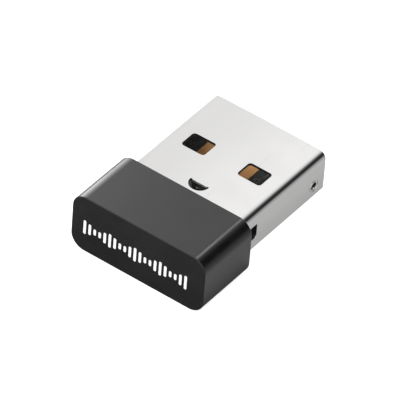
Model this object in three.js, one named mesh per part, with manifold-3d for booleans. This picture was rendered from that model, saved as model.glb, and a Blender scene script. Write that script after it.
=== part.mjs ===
// A nano USB wireless adapter: a folded steel USB-A plug with its circuit board inside, closed at the
// back by a small moulded cap. Millimetres, +Z up, +Y the way the plug goes into its port.
//
// Every piece is drawn about the seat point: the middle of the cap's rear face, where the plug comes
// out of the cap. The whole assembly is then moved so that the origin is under the middle of the object.

import * as THREE from 'three';
import { mergeVertices } from 'three/addons/utils/BufferGeometryUtils.js';
import Module from 'manifold-3d';

const wasm = await Module();
wasm.setup();

// ---------------------------------------------------------------- driving dimensions

const PLUG = {
  width: 12.0,
  height: 4.5,
  exposed: 12.05,
  hidden: 2.6,
  wall: 0.3,
  bendRadius: 0.72,
};

const CAP = {
  width: 14.1,
  height: 5.95,
  length: 6.65,
  cornerRadius: 1.45,
  edgeRadius: 0.1,
  backWall: 1.0,
  plugGap: 0.05,
  plugGapOverTop: 0.075,
};

const LATCH_WINDOW = { width: 2.42, length: 1.95, offCentre: 2.98, middleY: 5.8, cornerRadius: 0.3 };
const TAB = { foldY: 1.79, radius: 0.96, kerf: 0.06 };
const SIDE_NOTCH = {
  fromY: -1.3,
  toY: 2.22,
  bottom: -0.66,
  top: 0.82,
  lowerRadius: 0.3,
  upperRadius: 0.1,
};
const SIDE_HOLE = { y: 10.56, z: -0.6, radius: 0.29 };
const SEAM = { kerf: 0.06, keyY: 3.4, keyNeck: 1.2, keyHead: 1.9, keyReach: 0.95 };

const CONTACT = {
  width: 1.0,
  thickness: 0.05,
  cornerRadius: 0.12,
  backY: 3.55,
  powerLength: 7.41,
  dataLength: 6.41,
};
const BOARD = {
  thickness: 0.8,
  width: 11.1,
  shoulderWidth: 11.8,
  frontY: 11.2,
  shoulderY: -2.75,
  backY: -5.45,
};
const CARRIER = { width: 11.3, frontY: 11.75, backY: -2.5, lipFromY: 11.25, leadIn: 0.35 };
const CHIP_POCKET = { width: 6.6, fromY: 2.6, toY: 9.2, depth: 0.9 };

// Inside the cap, on each side: a rib under the back of the board, and a lug that snaps into the
// plug's side notch.
const CAP_RIB = { nearX: 4.6, farX: 5.5, gapToPlug: 0.05 };
const CAP_LUG = { reachIntoNotch: 0.23, frontY: -0.4, clearance: 0.07 };
const ANTENNA = { stripWidth: 0.4, feedY: -3.05, frontY: -3.6, backY: -5.1, pitch: 1.2, folds: 8 };
const SHELL_SOLDER = { fromY: -2.3, toY: -1.5, reach: 0.5, rise: 0.55, hollow: 0.12 };

// Two-ended chip parts, named by their usual size codes.
const SIZE_0402 = { length: 1.0, width: 0.5, height: 0.5 };
const SIZE_0402_FLAT = { length: 1.0, width: 0.5, height: 0.35 };
const SIZE_0603 = { length: 1.6, width: 0.8, height: 0.8 };

// A curve's steps, how far a cutter runs past what it cuts, and how far a piece that
// is joined on reaches into the one that it joins.
const ARC_STEPS = 4;
const PAST = 1;
const OVERLAP = 0.2;
const WELD = 1e-5;

// Heights and widths that several pieces share.
const BOARD_TOP = -CONTACT.thickness;
const BOARD_BOTTOM = BOARD_TOP - BOARD.thickness;
const SHELL_TOP = PLUG.height / 2;
const SHELL_INSIDE_TOP = SHELL_TOP - PLUG.wall;
const SHELL_INSIDE_SIDE = PLUG.width / 2 - PLUG.wall;

// ---------------------------------------------------------------- shape helpers

function solid(geometry) {
  const bare = geometry.clone();
  bare.deleteAttribute('normal');
  bare.deleteAttribute('uv');
  const merged = mergeVertices(bare.index ? bare.toNonIndexed() : bare, WELD);
  return new wasm.Manifold(new wasm.Mesh({
    numProp: 3,
    vertProperties: new Float32Array(merged.attributes.position.array),
    triVerts: new Uint32Array(merged.index.array),
  }));
}

function geometryOf(body) {
  const { vertProperties, triVerts } = body.getMesh();
  const geometry = new THREE.BufferGeometry();
  geometry.setAttribute('position', new THREE.BufferAttribute(vertProperties, 3));
  geometry.setIndex(new THREE.BufferAttribute(triVerts, 1));
  geometry.computeVertexNormals();
  return geometry;
}

// A rectangle centred on the origin of its plane, with rounded corners.
function roundedRectangle(width, height, radius) {
  const x = width / 2 - radius;
  const y = height / 2 - radius;
  const shape = new THREE.Shape();
  shape.absarc(x, y, radius, 0, Math.PI / 2);
  shape.absarc(-x, y, radius, Math.PI / 2, Math.PI);
  shape.absarc(-x, -y, radius, Math.PI, Math.PI * 1.5);
  shape.absarc(x, -y, radius, Math.PI * 1.5, Math.PI * 2);
  shape.closePath();
  return shape;
}

// A shape drawn in X and Z, drawn out along Y.
function alongY(shape, fromY, toY, bevel = 0) {
  const geometry = new THREE.ExtrudeGeometry(shape, {
    depth: toY - fromY - 2 * bevel,
    curveSegments: ARC_STEPS,
    bevelEnabled: bevel > 0,
    bevelThickness: bevel,
    bevelSize: bevel,
    bevelOffset: -bevel,
    bevelSegments: 3,
  });
  return geometry.rotateX(Math.PI / 2).translate(0, toY - bevel, 0);
}

// A shape drawn in X and Y, drawn out along Z.
function alongZ(shape, fromZ, toZ) {
  const geometry = new THREE.ExtrudeGeometry(shape, {
    depth: toZ - fromZ,
    curveSegments: ARC_STEPS,
    bevelEnabled: false,
  });
  return geometry.translate(0, 0, fromZ);
}

// A shape drawn in Y and Z, drawn out along X.
function alongX(shape, fromX, toX) {
  const geometry = new THREE.ExtrudeGeometry(shape, {
    depth: toX - fromX,
    curveSegments: ARC_STEPS,
    bevelEnabled: false,
  });
  const turned = new THREE.Matrix4().makeBasis(
    new THREE.Vector3(0, 1, 0),
    new THREE.Vector3(0, 0, 1),
    new THREE.Vector3(1, 0, 0),
  );
  return geometry.applyMatrix4(turned).translate(fromX, 0, 0);
}

function box([fromX, toX], [fromY, toY], [fromZ, toZ]) {
  const geometry = new THREE.BoxGeometry(toX - fromX, toY - fromY, toZ - fromZ);
  return geometry.translate((fromX + toX) / 2, (fromY + toY) / 2, (fromZ + toZ) / 2);
}

// A flat strip of one width that follows corner points in X and Y, between two heights.
function ribbon(points, width, fromZ, toZ) {
  const pieces = [];
  for (let i = 1; i < points.length; i += 1) {
    const [ax, ay] = points[i - 1];
    const [bx, by] = points[i];
    const length = Math.hypot(bx - ax, by - ay) + width;
    const piece = new THREE.BoxGeometry(length, width, toZ - fromZ);
    piece.rotateZ(Math.atan2(by - ay, bx - ax));
    pieces.push(solid(piece.translate((ax + bx) / 2, (ay + by) / 2, (fromZ + toZ) / 2)));
  }
  return pieces.reduce((whole, piece) => whole.add(piece));
}

// The same solid on the other side of the YZ plane. Two corners of each triangle change places, so
// that its faces still point out.
function reflectedInX(geometry) {
  const mirrored = geometry.clone().scale(-1, 1, 1);
  const flat = mirrored.index ? mirrored.toNonIndexed() : mirrored;
  const { array } = flat.attributes.position;
  for (let i = 0; i < array.length; i += 9) {
    for (let k = 0; k < 3; k += 1) {
      [array[i + 3 + k], array[i + 6 + k]] = [array[i + 6 + k], array[i + 3 + k]];
    }
  }
  return flat;
}

// ---------------------------------------------------------------- materials

const finish = (color, roughness, metalness) =>
  new THREE.MeshStandardMaterial({ color, roughness, metalness });

const BLACK_ABS = finish(0x2b2b2c, 0.38, 0);
const NICKEL_STEEL = finish(0xd4d4d2, 0.28, 1);
const BLACK_LCP = finish(0x171718, 0.55, 0);
const SOLDER_MASK = finish(0x141615, 0.4, 0);
const GOLD_PLATE = finish(0xc79a4e, 0.3, 1);
const MOULD_COMPOUND = finish(0x202022, 0.6, 0);
const CAN_STEEL = finish(0xc0c2c4, 0.3, 1);
const CERAMIC = finish(0xb9a489, 0.55, 0);
const RESISTOR_GLAZE = finish(0x1c1c20, 0.4, 0);
const FERRITE = finish(0x4a4a4e, 0.5, 0.2);
const SOLDER = finish(0xb8bbbd, 0.35, 1);

// ---------------------------------------------------------------- cap

// The moulded cap: a box with rounded long edges, open towards the plug, with its ribs and lugs.
function outerCap() {
  const outline = roundedRectangle(CAP.width, CAP.height, CAP.cornerRadius);
  const outside = alongY(outline, -CAP.length, 0, CAP.edgeRadius);
  const hollowWidth = PLUG.width + 2 * CAP.plugGap;
  const hollowHeight = PLUG.height + 2 * CAP.plugGapOverTop;
  const hollowBack = -CAP.length + CAP.backWall;
  const hollowOutline = roundedRectangle(hollowWidth, hollowHeight, PLUG.bendRadius + CAP.plugGap);
  const hollow = alongY(hollowOutline, hollowBack, PAST);
  const rib = box(
    [CAP_RIB.nearX, CAP_RIB.farX],
    [hollowBack - OVERLAP, -PLUG.hidden - CAP_RIB.gapToPlug],
    [-hollowHeight / 2 - OVERLAP, BOARD_BOTTOM],
  );
  const lug = box(
    [PLUG.width / 2 - CAP_LUG.reachIntoNotch, hollowWidth / 2 + OVERLAP],
    [SIDE_NOTCH.fromY + CAP_LUG.clearance, CAP_LUG.frontY],
    [SIDE_NOTCH.bottom + CAP_LUG.clearance, SIDE_NOTCH.top - CAP_LUG.clearance],
  );
  let cap = solid(outside).subtract(solid(hollow));
  for (const feature of [rib, lug]) {
    cap = cap.add(solid(feature)).add(solid(reflectedInX(feature)));
  }
  return geometryOf(cap);
}

// ---------------------------------------------------------------- plug shell

// The butt seam where the folded strip meets itself, with one dovetail key.
function seamCut() {
  const points = [
    [0, -PLUG.hidden - PAST],
    [0, SEAM.keyY - SEAM.keyNeck / 2],
    [SEAM.keyReach, SEAM.keyY - SEAM.keyHead / 2],
    [SEAM.keyReach, SEAM.keyY + SEAM.keyHead / 2],
    [0, SEAM.keyY + SEAM.keyNeck / 2],
    [0, PLUG.exposed + PAST],
  ];
  return ribbon(points, SEAM.kerf, -SHELL_TOP - PAST, -SHELL_INSIDE_TOP + OVERLAP);
}

function latchWindowCuts() {
  const { width, length, offCentre, middleY, cornerRadius } = LATCH_WINDOW;
  const outline = roundedRectangle(width, length, cornerRadius);
  return [-offCentre, offCentre].map((x) =>
    solid(alongZ(outline, -PLUG.height, PLUG.height).translate(x, middleY, 0)));
}

// The half-round opening over the board, and the tab that was pushed down out of it.
function halfMoonCut() {
  const outline = new THREE.Shape();
  outline.absarc(0, TAB.foldY, TAB.radius, Math.PI, 2 * Math.PI);
  outline.closePath();
  return solid(alongZ(outline, SHELL_INSIDE_TOP - OVERLAP, SHELL_TOP + PAST));
}

function foldedTab() {
  const outline = new THREE.Shape();
  const radius = TAB.radius - TAB.kerf;
  const insideTheWall = SHELL_INSIDE_TOP + PLUG.wall / 2;
  outline.moveTo(radius, insideTheWall);
  outline.lineTo(-radius, insideTheWall);
  outline.absarc(0, SHELL_INSIDE_TOP, radius, Math.PI, 2 * Math.PI);
  outline.closePath();
  return solid(alongY(outline, TAB.foldY, TAB.foldY + PLUG.wall));
}

function sideNotchCut() {
  const { fromY, toY, bottom, top, lowerRadius, upperRadius } = SIDE_NOTCH;
  const outline = new THREE.Shape();
  outline.moveTo(fromY, bottom);
  outline.lineTo(toY - lowerRadius, bottom);
  outline.absarc(toY - lowerRadius, bottom + lowerRadius, lowerRadius, -Math.PI / 2, 0);
  outline.absarc(toY - upperRadius, top - upperRadius, upperRadius, 0, Math.PI / 2);
  outline.lineTo(fromY, top);
  outline.closePath();
  return alongX(outline, SHELL_INSIDE_SIDE - OVERLAP, PLUG.width / 2 + PAST);
}

// The small round hole that is punched in the side wall near the tip.
function sideHoleCut() {
  const { y, z, radius } = SIDE_HOLE;
  const outline = new THREE.Shape();
  outline.absarc(y, z, radius, 0, Math.PI);
  outline.absarc(y, z, radius, Math.PI, 2 * Math.PI);
  return alongX(outline, SHELL_INSIDE_SIDE - OVERLAP, PLUG.width / 2 + PAST);
}

function plugShell() {
  const { width, height, wall, bendRadius, exposed, hidden } = PLUG;
  const outside = alongY(roundedRectangle(width, height, bendRadius), -hidden, exposed);
  const insideOutline = roundedRectangle(width - 2 * wall, height - 2 * wall, bendRadius - wall);
  const inside = alongY(insideOutline, -hidden - PAST, exposed + PAST);
  let shell = solid(outside).subtract(solid(inside));
  for (const side of [sideNotchCut(), sideHoleCut()]) {
    shell = shell.subtract(solid(side)).subtract(solid(reflectedInX(side)));
  }
  for (const cut of [...latchWindowCuts(), halfMoonCut(), seamCut()]) {
    shell = shell.subtract(cut);
  }
  return geometryOf(shell.add(foldedTab()));
}

// ---------------------------------------------------------------- board and carrier

// The wireless board: narrow inside the plug, with shoulders that sit behind the plug in the cap.
function circuitBoard() {
  const half = BOARD.width / 2;
  const shoulder = BOARD.shoulderWidth / 2;
  const outline = new THREE.Shape([
    new THREE.Vector2(-shoulder, BOARD.backY),
    new THREE.Vector2(shoulder, BOARD.backY),
    new THREE.Vector2(shoulder, BOARD.shoulderY),
    new THREE.Vector2(half, BOARD.shoulderY),
    new THREE.Vector2(half, BOARD.frontY),
    new THREE.Vector2(-half, BOARD.frontY),
    new THREE.Vector2(-half, BOARD.shoulderY),
    new THREE.Vector2(-shoulder, BOARD.shoulderY),
  ]);
  return alongZ(outline, BOARD_BOTTOM, BOARD_TOP);
}

// The moulded block under the board. It fills the lower half of the plug, has a pocket for the parts
// under the board, and ends at the tip in a lip with a sloping lead-in.
function tongueCarrier() {
  const half = CARRIER.width / 2;
  const floor = -SHELL_INSIDE_TOP;
  const radius = PLUG.bendRadius - PLUG.wall;
  const section = new THREE.Shape();
  section.moveTo(half, BOARD_TOP);
  section.lineTo(-half, BOARD_TOP);
  section.lineTo(-half, floor + radius);
  section.absarc(-half + radius, floor + radius, radius, Math.PI, Math.PI * 1.5);
  section.absarc(half - radius, floor + radius, radius, Math.PI * 1.5, Math.PI * 2);
  section.closePath();
  const block = alongY(section, CARRIER.backY, CARRIER.frontY);
  const across = [-half - PAST, half + PAST];
  const boardBed = box(across, [CARRIER.backY - PAST, CARRIER.lipFromY], [BOARD_BOTTOM, PAST]);
  const pocket = box(
    [-CHIP_POCKET.width / 2, CHIP_POCKET.width / 2],
    [CHIP_POCKET.fromY, CHIP_POCKET.toY],
    [BOARD_BOTTOM - CHIP_POCKET.depth, BOARD_BOTTOM + PAST],
  );
  const slope = new THREE.Shape([
    new THREE.Vector2(CARRIER.frontY - CARRIER.leadIn - PAST, BOARD_TOP + PAST),
    new THREE.Vector2(CARRIER.frontY + PAST, BOARD_TOP - CARRIER.leadIn - PAST),
    new THREE.Vector2(CARRIER.frontY + PAST, BOARD_TOP + PAST),
  ]);
  const leadIn = alongX(slope, ...across);
  const cuts = [boardBed, pocket, leadIn];
  return geometryOf(cuts.reduce((rest, cut) => rest.subtract(solid(cut)), solid(block)));
}

// One gold contact, flat on the board, with its front end near the tip.
function contact(x, length) {
  const outline = roundedRectangle(CONTACT.width, length, CONTACT.cornerRadius);
  return alongZ(outline, BOARD_TOP, 0).translate(x, CONTACT.backY + length / 2, 0);
}

// The antenna: a copper strip that folds back and forth across the board behind the plug.
function printedAntenna() {
  const { stripWidth, feedY, frontY, backY, pitch, folds } = ANTENNA;
  const startX = (pitch * folds) / 2;
  const points = [[startX, feedY]];
  for (let i = 0; i <= folds; i += 1) {
    const x = startX - i * pitch;
    const [near, far] = i % 2 === 0 ? [frontY, backY] : [backY, frontY];
    points.push([x, near]);
    if (i < folds) {
      points.push([x, far]);
    }
  }
  return geometryOf(ribbon(points, stripWidth, BOARD_TOP, 0));
}

// ---------------------------------------------------------------- parts on the board

// A small two-ended part: a block with a metal cap over each end. Its long side lies along X.
function chipComponent({ length, width, height }) {
  const endLength = length * 0.22;
  const skin = 0.02;
  const core = box(
    [-length / 2 + skin, length / 2 - skin],
    [-width / 2 + skin, width / 2 - skin],
    [skin, height - skin],
  );
  const end = box([length / 2 - endLength, length / 2], [-width / 2, width / 2], [0, height]);
  return geometryOf(solid(core).add(solid(end)).add(solid(reflectedInX(end))));
}

// The radio chip: a flat square package with a round mark in its top over its first pin.
function radioChip() {
  const side = 5.0;
  const height = 0.8;
  const markRadius = 0.3;
  const markDepth = 0.1;
  const markFromEdge = 0.75;
  const block = box([-side / 2, side / 2], [-side / 2, side / 2], [0, height]);
  const mark = new THREE.CylinderGeometry(markRadius, markRadius, 2 * markDepth, 16);
  mark.rotateX(Math.PI / 2).translate(markFromEdge - side / 2, side / 2 - markFromEdge, height);
  return geometryOf(solid(block).subtract(solid(mark)));
}

// The crystal: a ceramic tray with a metal lid.
function crystal() {
  const tray = alongZ(roundedRectangle(3.2, 2.5, 0.2), 0, 0.4);
  const lid = alongZ(roundedRectangle(2.9, 2.2, 0.3), 0.3, 0.75);
  return geometryOf(solid(tray).add(solid(lid)));
}

// A three-legged regulator: a moulded block standing on bent legs, two in front and one behind.
function voltageRegulator() {
  const halfLength = 1.45;
  const halfWidth = 0.65;
  const underside = 0.1;
  const top = 1.0;
  const leg = { halfWidth: 0.2, thickness: 0.12, kneeY: 0.9, toeY: 1.2, shoulderZ: 0.45, offCentre: 0.95 };
  let part = solid(box([-halfLength, halfLength], [-halfWidth, halfWidth], [underside, top]));
  for (const [x, side] of [[-leg.offCentre, -1], [leg.offCentre, -1], [0, 1]]) {
    const across = [x - leg.halfWidth, x + leg.halfWidth];
    const between = (near, far) => (side > 0 ? [near, far] : [-far, -near]);
    const overShoulder = [leg.shoulderZ, leg.shoulderZ + leg.thickness];
    const knee = between(leg.kneeY - leg.thickness, leg.kneeY);
    const shoulder = box(across, between(halfWidth - leg.thickness, leg.kneeY), overShoulder);
    const riser = box(across, knee, [0, leg.shoulderZ + leg.thickness]);
    const foot = box(across, between(leg.kneeY - leg.thickness, leg.toeY), [0, leg.thickness]);
    part = part.add(solid(shoulder)).add(solid(riser)).add(solid(foot));
  }
  return geometryOf(part);
}

// The data-line suppressor: a small flat package.
function esdSuppressor() {
  return alongZ(roundedRectangle(1.6, 1.2, 0.1), 0, 0.55);
}

// The solder that joins the plug's side wall to the board, with a hollow face.
function shellSolder(side) {
  const { fromY, toY, reach, rise, hollow } = SHELL_SOLDER;
  const wallX = SHELL_INSIDE_SIDE;
  const outline = new THREE.Shape();
  outline.moveTo(wallX, BOARD_TOP);
  outline.lineTo(wallX, BOARD_TOP + rise);
  outline.quadraticCurveTo(wallX - hollow, BOARD_TOP + hollow, wallX - reach, BOARD_TOP);
  outline.closePath();
  const fillet = alongY(outline, fromY, toY);
  return side > 0 ? fillet : reflectedInX(fillet);
}

// ---------------------------------------------------------------- assembly

const assembly = new THREE.Group();

function addPiece(name, geometry, material) {
  const mesh = new THREE.Mesh(geometry, material);
  mesh.name = name;
  assembly.add(mesh);
  return mesh;
}

addPiece('outer_cap', outerCap(), BLACK_ABS);
addPiece('plug_shell', plugShell(), NICKEL_STEEL);
addPiece('tongue_carrier', tongueCarrier(), BLACK_LCP);
addPiece('circuit_board', circuitBoard(), SOLDER_MASK);
addPiece('printed_antenna', printedAntenna(), GOLD_PLATE);
addPiece('shell_solder_left', shellSolder(-1), SOLDER);
addPiece('shell_solder_right', shellSolder(1), SOLDER);

addPiece('contact_vbus', contact(-3.5, CONTACT.powerLength), GOLD_PLATE);
addPiece('contact_data_minus', contact(-1.0, CONTACT.dataLength), GOLD_PLATE);
addPiece('contact_data_plus', contact(1.0, CONTACT.dataLength), GOLD_PLATE);
addPiece('contact_ground', contact(3.5, CONTACT.powerLength), GOLD_PLATE);

// Each part stands on the board at x, y, and "turned" lays its long side along Y.
function addOnTop(name, geometry, material, x, y, turned = false) {
  const placed = turned ? geometry.rotateZ(Math.PI / 2) : geometry;
  addPiece(name, placed, material).position.set(x, y, BOARD_TOP);
}

// The same, hanging under the board, so the part is turned over about Y.
function addBelow(name, geometry, material, x, y, turned = false) {
  const placed = turned ? geometry.rotateZ(Math.PI / 2) : geometry;
  addPiece(name, placed.rotateY(Math.PI), material).position.set(x, y, BOARD_BOTTOM);
}

addOnTop('ferrite_bead', chipComponent(SIZE_0603), FERRITE, -4.1, 2.2);
addOnTop('input_capacitor', chipComponent(SIZE_0603), CERAMIC, -4.1, 1.0);
addOnTop('voltage_regulator', voltageRegulator(), MOULD_COMPOUND, -3.4, -1.0);
addOnTop('output_capacitor', chipComponent(SIZE_0603), CERAMIC, -1.1, -1.2, true);
addOnTop('usb_resistor_minus', chipComponent(SIZE_0402_FLAT), RESISTOR_GLAZE, -1.1, 1.6, true);
addOnTop('usb_resistor_plus', chipComponent(SIZE_0402_FLAT), RESISTOR_GLAZE, -0.2, 1.6, true);
addOnTop('esd_suppressor', esdSuppressor(), MOULD_COMPOUND, 1.4, 1.7);
addOnTop('crystal', crystal(), CAN_STEEL, 3.5, -0.2);
addOnTop('crystal_capacitor_1', chipComponent(SIZE_0402), CERAMIC, 1.2, 0.4);
addOnTop('crystal_capacitor_2', chipComponent(SIZE_0402), CERAMIC, 1.2, -0.6);
addOnTop('matching_inductor', chipComponent(SIZE_0402), FERRITE, 2.6, -2.2);
addOnTop('matching_capacitor', chipComponent(SIZE_0402), CERAMIC, 4.2, -2.2);

addBelow('radio_chip', radioChip(), MOULD_COMPOUND, 0, 6.3);
addBelow('decoupling_capacitor_1', chipComponent(SIZE_0402), CERAMIC, -2.2, 3.1);
addBelow('decoupling_capacitor_2', chipComponent(SIZE_0402), CERAMIC, 0, 3.1);
addBelow('decoupling_capacitor_3', chipComponent(SIZE_0402), CERAMIC, 2.2, 3.1);

// The origin goes under the middle of the object's length, on the surface that the cap rests on.
assembly.position.set(0, -(PLUG.exposed - CAP.length) / 2, CAP.height / 2);

const group = new THREE.Group();
group.add(assembly);

export default group;
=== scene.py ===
"""The looks of a nano USB wireless adapter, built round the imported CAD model.

Shapes are drawn in millimetres about the seat point, the middle of the cap's rear face, where the plug
comes out of the cap: X across, +Y towards the tip of the plug, +Z up. add_piece moves them to the frame.
"""

import math

import bmesh
import bpy
from mathutils import Matrix, Quaternion, Vector
from mathutils.geometry import delaunay_2d_cdt


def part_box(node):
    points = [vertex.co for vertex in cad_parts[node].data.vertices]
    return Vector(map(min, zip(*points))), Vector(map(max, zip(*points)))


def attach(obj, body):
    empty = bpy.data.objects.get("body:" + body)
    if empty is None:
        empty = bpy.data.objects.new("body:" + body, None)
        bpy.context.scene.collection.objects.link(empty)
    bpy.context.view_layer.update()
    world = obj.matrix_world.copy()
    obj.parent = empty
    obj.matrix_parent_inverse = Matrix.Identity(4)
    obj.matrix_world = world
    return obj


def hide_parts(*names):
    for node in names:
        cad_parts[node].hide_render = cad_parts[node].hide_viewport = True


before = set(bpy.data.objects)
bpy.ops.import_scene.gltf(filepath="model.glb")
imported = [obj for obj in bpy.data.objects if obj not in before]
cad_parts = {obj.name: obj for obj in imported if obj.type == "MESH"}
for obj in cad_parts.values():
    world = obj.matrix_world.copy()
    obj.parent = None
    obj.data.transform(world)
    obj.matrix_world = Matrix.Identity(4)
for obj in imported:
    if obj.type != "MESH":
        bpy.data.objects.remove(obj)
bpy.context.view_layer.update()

# ---------------------------------------------------------------- sizes, from the frame

MM = 0.001
cap_low, cap_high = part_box("outer_cap")
SEAT = Vector((0, cap_high[1], (cap_low[2] + cap_high[2]) / 2))


def place_of(node):
    """The lowest and highest corners of a CAD node, in millimetres about the seat point."""
    return [(Vector(corner) - SEAT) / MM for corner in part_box(node)]


CAP_LOW, CAP_HIGH = place_of("outer_cap")
CAP_LOW.x += 0.05  # the real cap is a hair narrower on its left than its CAD solid
PLUG_LOW, PLUG_HIGH = place_of("plug_shell")
BOARD_LOW, BOARD_HIGH = place_of("circuit_board")

# The folded sheet of the plug.
WALL = 0.3
BEND_RADIUS = 0.72
EDGE_ROUNDING = 0.03
TOP_CROWN = 0.045
SIDE_CROWN = 0.012
PAINTED_SHADE_ON_BEND = (0.12, 0.65)  # the stretch of the tab's bend that takes the dark cut finish as painted shade, as shares of the bend
WINDOW = {"width": 2.42, "length": 1.95, "off_centre": 2.98, "middle_y": 5.8, "corner": 0.3}
TAB = {
    "middle_x": 0.08, "fold_y": 1.79, "radius": 0.95, "kerf": 0.16, "relief_y": 1.87, "face_y": 1.67,
    "outer_bend": 0.2, "inner_bend": 0.1,
}
TAB_BEAD = {"off_middle": -0.12, "drop": 0.55, "reach": 0.3, "width": 0.12, "height": 0.05}
NOTCH = {"from_y": -1.3, "to_y": 2.22, "bottom": -0.66, "top": 0.82, "lower": 0.3, "upper": 0.1}
SIDE_HOLE = {"y": 10.54, "z": -0.56, "radius": 0.37, "taper": 0.1}
HOLE_GROOVE = {"radius": 0.56, "width": 0.14, "depth": 0.045}
SEAM = {"kerf": 0.06, "key_y": 3.4, "neck": 1.2, "head": 1.9, "reach": 0.95}

# The moulded cap.
CAP_CORNER = 1.45
CAP_EDGE = 0.1
CAP_BACK_WALL = 1.0
CAP_GAP = {"side": 0.05, "top": 0.075}
CAP_RIB = {"near_x": 4.6, "far_x": 5.5, "gap_to_plug": 0.05, "edge": 0.06}
CAP_LUG = {"into_notch": 0.23, "front_y": -0.4, "clearance": 0.07, "edge": 0.05}

# How far a cutter runs past what it cuts, and how far a joined solid reaches into the one it joins.
PAST = 1.0
OVERLAP = 0.2

# Edges between faces that turn by more than this stay sharp.
SHARP_ANGLE = math.radians(42)

# ---------------------------------------------------------------- outlines


def rounded_rectangle(low, high, radius, steps=6):
    """Corner points of a rectangle with rounded corners, anticlockwise."""
    points = []
    corners = [(high[0], high[1]), (low[0], high[1]), (low[0], low[1]), (high[0], low[1])]
    for quarter, (x, y) in enumerate(corners):
        centre = Vector((x - math.copysign(radius, x - (low[0] + high[0]) / 2),
                         y - math.copysign(radius, y - (low[1] + high[1]) / 2)))
        points += arc(centre, radius, 90 * quarter, 90 * (quarter + 1), steps)
    return points


def arc(centre, radius, from_angle, to_angle, steps):
    """Points along an arc, its ends included. Angles are in degrees."""
    angles = [math.radians(from_angle + (to_angle - from_angle) * k / steps) for k in range(steps + 1)]
    return [Vector(centre) + radius * Vector((math.cos(a), math.sin(a))) for a in angles]


def moved_sideways(points, distance, closed=True):
    """Each point moved to the left of the path by a distance, with mitred corners."""
    moved = []
    count = len(points)
    for i, point in enumerate(points):
        before = point - points[i - 1] if closed or i > 0 else points[1] - points[0]
        after = points[(i + 1) % count] - point if closed or i < count - 1 else point - points[i - 1]
        left_before = Vector((-before.y, before.x)).normalized()
        left_after = Vector((-after.y, after.x)).normalized()
        moved.append(point + (left_before + left_after) * distance / (1 + left_before.dot(left_after)))
    return moved


def ribbon(points, width):
    """The outline of a strip of one width along an open path."""
    path = [Vector(point) for point in points]
    left = moved_sideways(path, width / 2, closed=False)
    right = moved_sideways(path, -width / 2, closed=False)
    return right + left[::-1]


# ---------------------------------------------------------------- solids

AXES = {
    "x": lambda u, v, h: (h, u, v),
    "y": lambda u, v, h: (u, h, v),
    "z": lambda u, v, h: (u, v, h),
}


def rounded_layers(start, end, start_radius, end_radius, steps):
    """(height, inset) of each layer of a solid with rounded end edges."""
    quarter = [math.pi / 2 * k / steps for k in range(steps + 1)]
    layers = [(start, 0.0)]
    if start_radius > 0:
        layers = [(start + start_radius * (1 - math.cos(a)), start_radius * (1 - math.sin(a)))
                  for a in quarter]
    if end_radius > 0:
        layers += [(end - end_radius * (1 - math.cos(a)), end_radius * (1 - math.sin(a)))
                   for a in reversed(quarter)]
    else:
        layers.append((end, 0.0))
    return layers


def add_prism(body, outline, start, end, along="z", rounding=(0.0, 0.0), material=0, steps=3):
    """Adds an outline drawn out along an axis, as a closed solid with its end edges rounded."""
    turn = AXES[along]
    rings = []
    for height, inset in rounded_layers(start, end, *rounding, steps):
        ring = moved_sideways(outline, inset) if inset else outline
        rings.append([body.verts.new(turn(point[0], point[1], height)) for point in ring])
    faces = [body.faces.new(rings[0]), body.faces.new(rings[-1])]
    for lower, upper in zip(rings, rings[1:]):
        for i in range(len(outline)):
            faces.append(body.faces.new((lower[i - 1], lower[i], upper[i], upper[i - 1])))
    for face in faces:
        face.material_index = material
    return body


def add_block(body, low, high, rounding, material=0):
    """Adds a block between two corners with all of its edges rounded."""
    outline = rounded_rectangle(low[:2], high[:2], rounding, steps=3)
    end_rounding = rounding * 0.9
    return add_prism(body, outline, low[2], high[2], "z", (end_rounding, end_rounding), material)


def in_scene(name, data):
    """A new object in the scene, with that mesh, light or camera."""
    made = bpy.data.objects.new(name, data)
    bpy.context.scene.collection.objects.link(made)
    return made


def as_mesh(name, body):
    """The drawn solid as a mesh, with its faces turned outwards and shaded smooth between sharp edges."""
    bmesh.ops.recalc_face_normals(body, faces=body.faces)
    for edge in body.edges:
        edge.smooth = edge.is_manifold and edge.calc_face_angle() < SHARP_ANGLE
    for face in body.faces:
        face.smooth = True
    mesh = bpy.data.meshes.new(name)
    body.to_mesh(mesh)
    body.free()
    return mesh


def combined(body, tool, operation):
    """One solid joined to another ("UNION"), or with the other cut out of it ("DIFFERENCE")."""
    first, second = (in_scene("working", as_mesh("working", solid)) for solid in (body, tool))
    modifier = first.modifiers.new("combine", "BOOLEAN")
    modifier.operation = operation
    modifier.solver = "EXACT"
    modifier.object = second
    bpy.context.view_layer.update()
    evaluated = first.evaluated_get(bpy.context.evaluated_depsgraph_get())
    result = bmesh.new()
    result.from_mesh(evaluated.to_mesh())
    for used in (first, second):
        mesh = used.data
        bpy.data.objects.remove(used)
        bpy.data.meshes.remove(mesh)
    return result


def add_piece(name, body, materials, stands_for=None):
    """Makes a piece of the drawn solid, in the frame's metres."""
    bmesh.ops.transform(body, matrix=Matrix.Translation(SEAT) @ Matrix.Scale(MM, 4), verts=body.verts)
    mesh = as_mesh(name, body)
    for material in materials:
        mesh.materials.append(material)
    piece = placed(name, mesh, stands_for)
    shading = piece.modifiers.new("even shading", "WEIGHTED_NORMAL")
    shading.keep_sharp = True
    shading.weight = 80
    return piece


def placed(name, mesh, stands_for=None):
    """Puts a finished mesh in the scene as a piece of the object, tied to its one body."""
    piece = in_scene(name, mesh)
    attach(piece, "root")
    if stands_for:
        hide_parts(stands_for)
    return piece


# ---------------------------------------------------------------- material nodes


def add_node(tree, kind, inputs=None, **settings):
    """A shader node with its settings and inputs. An input is a value or another node's output, by its
    name or its number."""
    made = tree.nodes.new(kind)
    for name, value in settings.items():
        setattr(made, name, value)
    for name, value in (inputs or {}).items():
        if isinstance(value, bpy.types.NodeSocket):
            tree.links.new(value, made.inputs[name])
        else:
            made.inputs[name].default_value = value
    return made


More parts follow.
